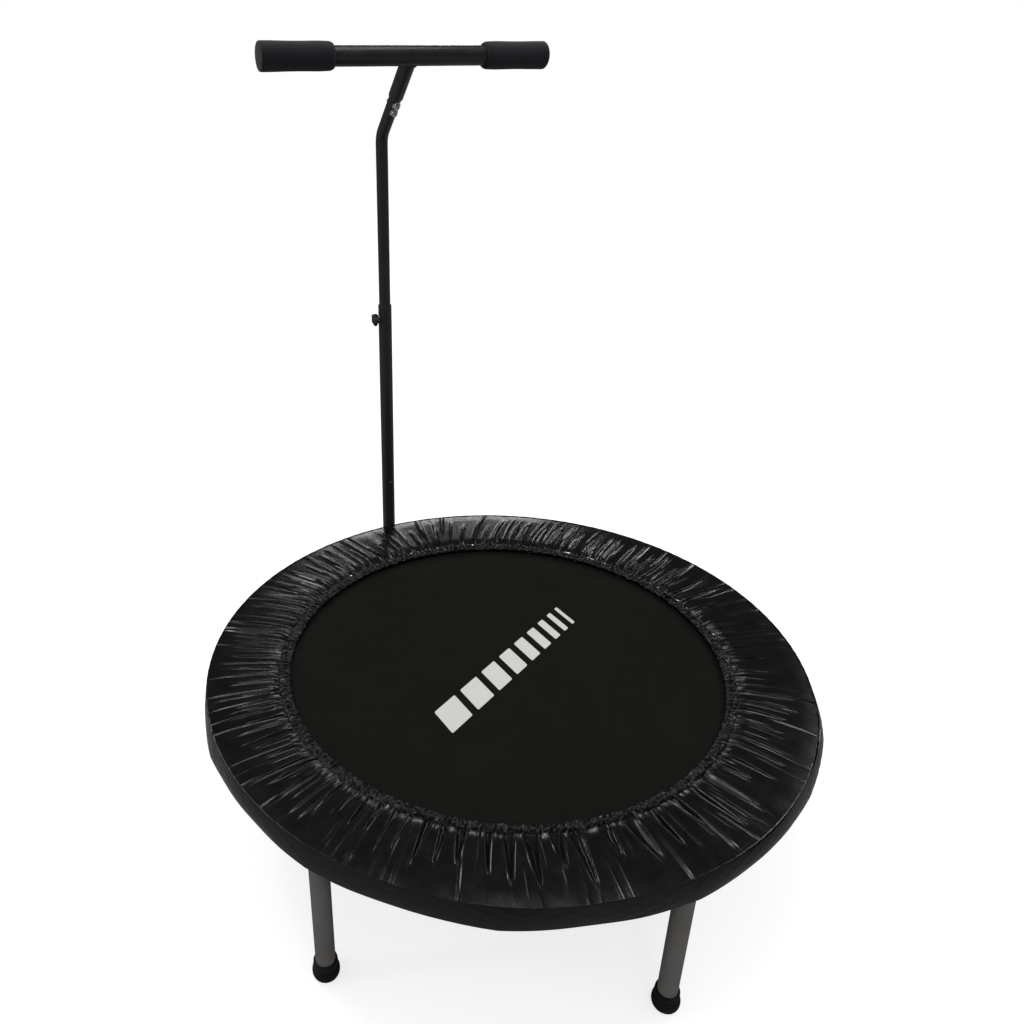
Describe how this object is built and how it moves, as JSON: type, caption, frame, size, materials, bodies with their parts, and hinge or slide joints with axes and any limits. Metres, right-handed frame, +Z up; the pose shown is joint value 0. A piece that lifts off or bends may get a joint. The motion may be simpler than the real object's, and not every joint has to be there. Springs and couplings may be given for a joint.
{
  "type": "mini trampoline",
  "caption": "Round fitness trampoline on screw-in legs, with a sprung mat, a gathered vinyl spring cover and a height-adjustable padded T-handle.",
  "frame": {"origin": "on the floor, under the middle of the whole object's bounding box, 11.25 mm from the mat's centre towards the handle", "axes": "+Z up; +Y from the mat's centre towards the handle; the T-bar runs along X and the clamping knob is on the -X side"},
  "size_m": [0.987, 1.0096, 1.1848],
  "materials": {
    "black_powder_coat": "satin black powder coat on steel tube",
    "grey_leg_paint": "satin warm grey paint on steel tube",
    "zinc_plated_steel": "bright zinc plating",
    "black_vinyl": "glossy black vinyl cloth, gathered on elastic",
    "mat_cloth": "matte black woven polypropylene with a pale plain graphic",
    "grip_foam": "matte black closed-cell foam",
    "black_rubber": "moulded black rubber",
    "black_plastic": "moulded black plastic"
  },
  "bodies": {
    "frame": {"frame_ring": "black_powder_coat", "skirt": "black_vinyl", "leg_1": "grey_leg_paint", "leg_2": "grey_leg_paint", "leg_3": "grey_leg_paint", "leg_4": "grey_leg_paint", "leg_5": "grey_leg_paint", "leg_6": "grey_leg_paint", "foot_1": "black_rubber", "foot_2": "black_rubber", "foot_3": "black_rubber", "foot_4": "black_rubber", "foot_5": "black_rubber", "foot_6": "black_rubber", "spring_01": "zinc_plated_steel", "spring_02": "zinc_plated_steel", "spring_03": "zinc_plated_steel", "spring_04": "zinc_plated_steel", "spring_05": "zinc_plated_steel", "spring_06": "zinc_plated_steel", "spring_07": "zinc_plated_steel", "spring_08": "zinc_plated_steel", "spring_09": "zinc_plated_steel", "spring_10": "zinc_plated_steel", "spring_11": "zinc_plated_steel", "spring_12": "zinc_plated_steel", "spring_13": "zinc_plated_steel", "spring_14": "zinc_plated_steel", "spring_15": "zinc_plated_steel", "spring_16": "zinc_plated_steel", "spring_17": "zinc_plated_steel", "spring_18": "zinc_plated_steel", "spring_19": "zinc_plated_steel", "spring_20": "zinc_plated_steel", "spring_21": "zinc_plated_steel", "spring_22": "zinc_plated_steel", "spring_23": "zinc_plated_steel", "spring_24": "zinc_plated_steel", "base_post": "black_powder_coat", "base_post_cap": "black_plastic", "base_saddle": "black_plastic", "base_bolt_lower": "zinc_plated_steel", "base_bolt_upper": "zinc_plated_steel", "base_nut_lower": "zinc_plated_steel", "base_nut_upper": "zinc_plated_steel", "lower_post": "black_powder_coat"},
    "mat": {"mat": "mat_cloth"},
    "handle_top": {"upper_post": "black_powder_coat", "t_bar": "black_powder_coat", "grip_left": "grip_foam", "grip_right": "grip_foam", "neck_bolt_lower": "zinc_plated_steel", "neck_bolt_upper": "zinc_plated_steel", "neck_nut_lower": "zinc_plated_steel", "neck_nut_upper": "zinc_plated_steel"},
    "knob_washer": {"knob_washer": "zinc_plated_steel"},
    "knob": {"knob": "black_plastic"},
    "snap_button": {"snap_button": "zinc_plated_steel"}
  },
  "joints": [
    {"name": "mat_bounce", "type": "slide", "parent": "frame", "child": "mat", "axis": [0, 0, 1], "range_m": [-0.06, 0], "stiffness_N_per_m": 5000, "deforming": ["spring_01", "spring_02", "spring_03", "spring_04", "spring_05", "spring_06", "spring_07", "spring_08", "spring_09", "spring_10", "spring_11", "spring_12", "spring_13", "spring_14", "spring_15", "spring_16", "spring_17", "spring_18", "spring_19", "spring_20", "spring_21", "spring_22", "spring_23", "spring_24"]},
    {"name": "handle_height", "type": "slide", "parent": "frame", "child": "handle_top", "axis": [0, 0, 1], "range_m": [-0.11, 0.1]},
    {"name": "knob_travel", "type": "slide", "parent": "frame", "child": "knob_washer", "axis": [-1, 0, 0], "range_m": [0, 0.00376]},
    {"name": "knob_turn", "type": "hinge", "parent": "knob_washer", "child": "knob", "pos_m": [0, 0.48975, 0.711], "axis": [-1, 0, 0], "range_deg": [0, 1080]},
    {"name": "snap_button_press", "type": "slide", "parent": "frame", "child": "snap_button", "axis": [0, 1, 0], "range_m": [0, 0.0045], "stiffness_N_per_m": 300}
  ],
  "couplings": [
    {"joint": "knob_travel", "follows": "knob_turn", "m_per_rad": 0.00019894}
  ]
}
